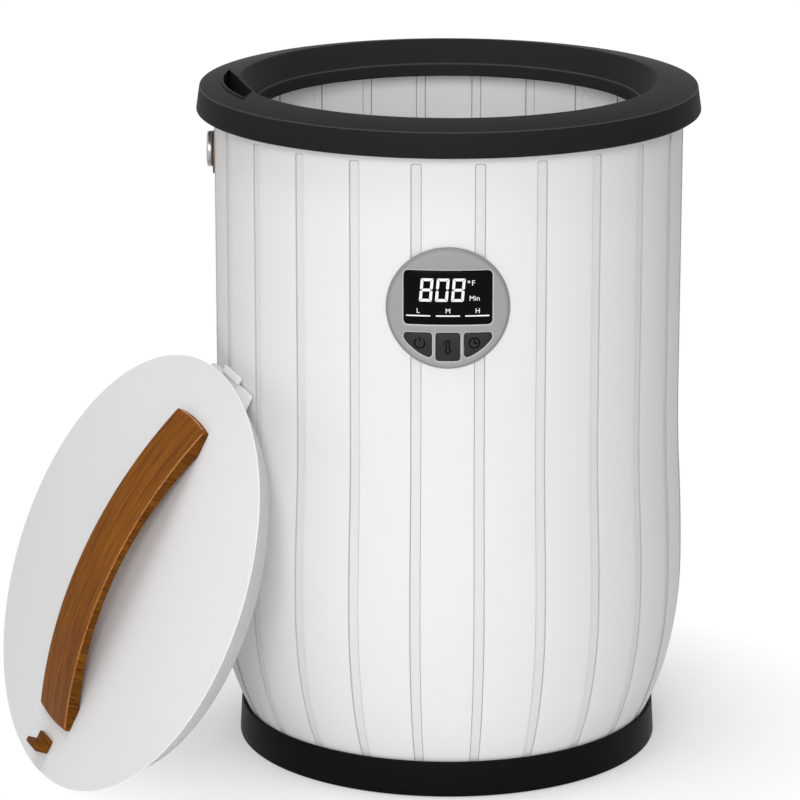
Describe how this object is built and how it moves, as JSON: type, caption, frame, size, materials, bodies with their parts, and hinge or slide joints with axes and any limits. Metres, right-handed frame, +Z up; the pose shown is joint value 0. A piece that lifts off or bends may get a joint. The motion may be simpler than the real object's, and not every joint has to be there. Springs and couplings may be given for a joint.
{
  "type": "towel warmer bucket",
  "caption": "Round upright bucket that warms towels, with banded sides, a round control panel, a flared rim and a lid with a bowed wooden handle, leaning beside it.",
  "frame": {"origin": "centre of the bucket's underside, on the surface it stands on", "axes": "+Z up along the bucket's axis, -Y towards the control panel, -X towards the leaning lid"},
  "size_m": [0.4513, 0.3645, 0.4344],
  "materials": {
    "white_body": "satin",
    "white_lid": "satin",
    "lining": "satin",
    "black_plastic": "satin",
    "panel_grey": "satin",
    "button_dark": "matte",
    "window_black": "gloss",
    "display": "satin",
    "board_green": "satin",
    "steel": "satin",
    "stud_metal": "satin",
    "pad_leather": "matte",
    "wood": "satin",
    "soft_rubber": "matte",
    "seal_rubber": "matte",
    "heater": "satin",
    "felt": "matte",
    "foam": "matte"
  },
  "bodies": {
    "bucket": {"outer_shell": "white_body", "base_ring": "black_plastic", "bottom_cover": "black_plastic", "rubber_feet": "soft_rubber", "bottom_screws": "steel", "cord_inlet": "soft_rubber", "inner_bucket": "lining", "rim_gasket": "soft_rubber", "heating_film": "heater", "insulation_sleeve": "felt", "overheat_cutout": "steel", "temperature_sensor": "black_plastic", "power_board": "board_green", "top_rim": "black_plastic", "control_bezel": "panel_grey", "display_window": "window_black", "display_module": "display", "key_switches": "black_plastic", "control_board": "board_green", "board_screws": "steel", "stud_pad": "pad_leather", "side_stud": "stud_metal"},
    "power_button": {"power_button": "button_dark"},
    "temperature_button": {"temperature_button": "button_dark"},
    "timer_button": {"timer_button": "button_dark"},
    "lid": {"lid_cover": "white_lid", "lid_liner": "white_lid", "lid_foam": "foam", "lid_seal": "seal_rubber", "lid_tab": "white_lid", "lid_handle": "wood", "lid_hook": "wood", "handle_screws": "steel", "hook_screws": "steel"}
  },
  "joints": [
    {"name": "power_press", "type": "slide", "parent": "bucket", "child": "power_button", "axis": [0, 1, 0], "range_m": [0, 0.0005], "stiffness_N_per_m": 200},
    {"name": "temperature_press", "type": "slide", "parent": "bucket", "child": "temperature_button", "axis": [0, 1, 0], "range_m": [0, 0.0005], "stiffness_N_per_m": 200},
    {"name": "timer_press", "type": "slide", "parent": "bucket", "child": "timer_button", "axis": [0, 1, 0], "range_m": [0, 0.0005], "stiffness_N_per_m": 200},
    {"name": "lid_lift", "type": "slide", "parent": "bucket", "child": "lid", "axis": [-0.7817, -0.4809, 0.3971], "range_m": [0, 0.25]}
  ]
}
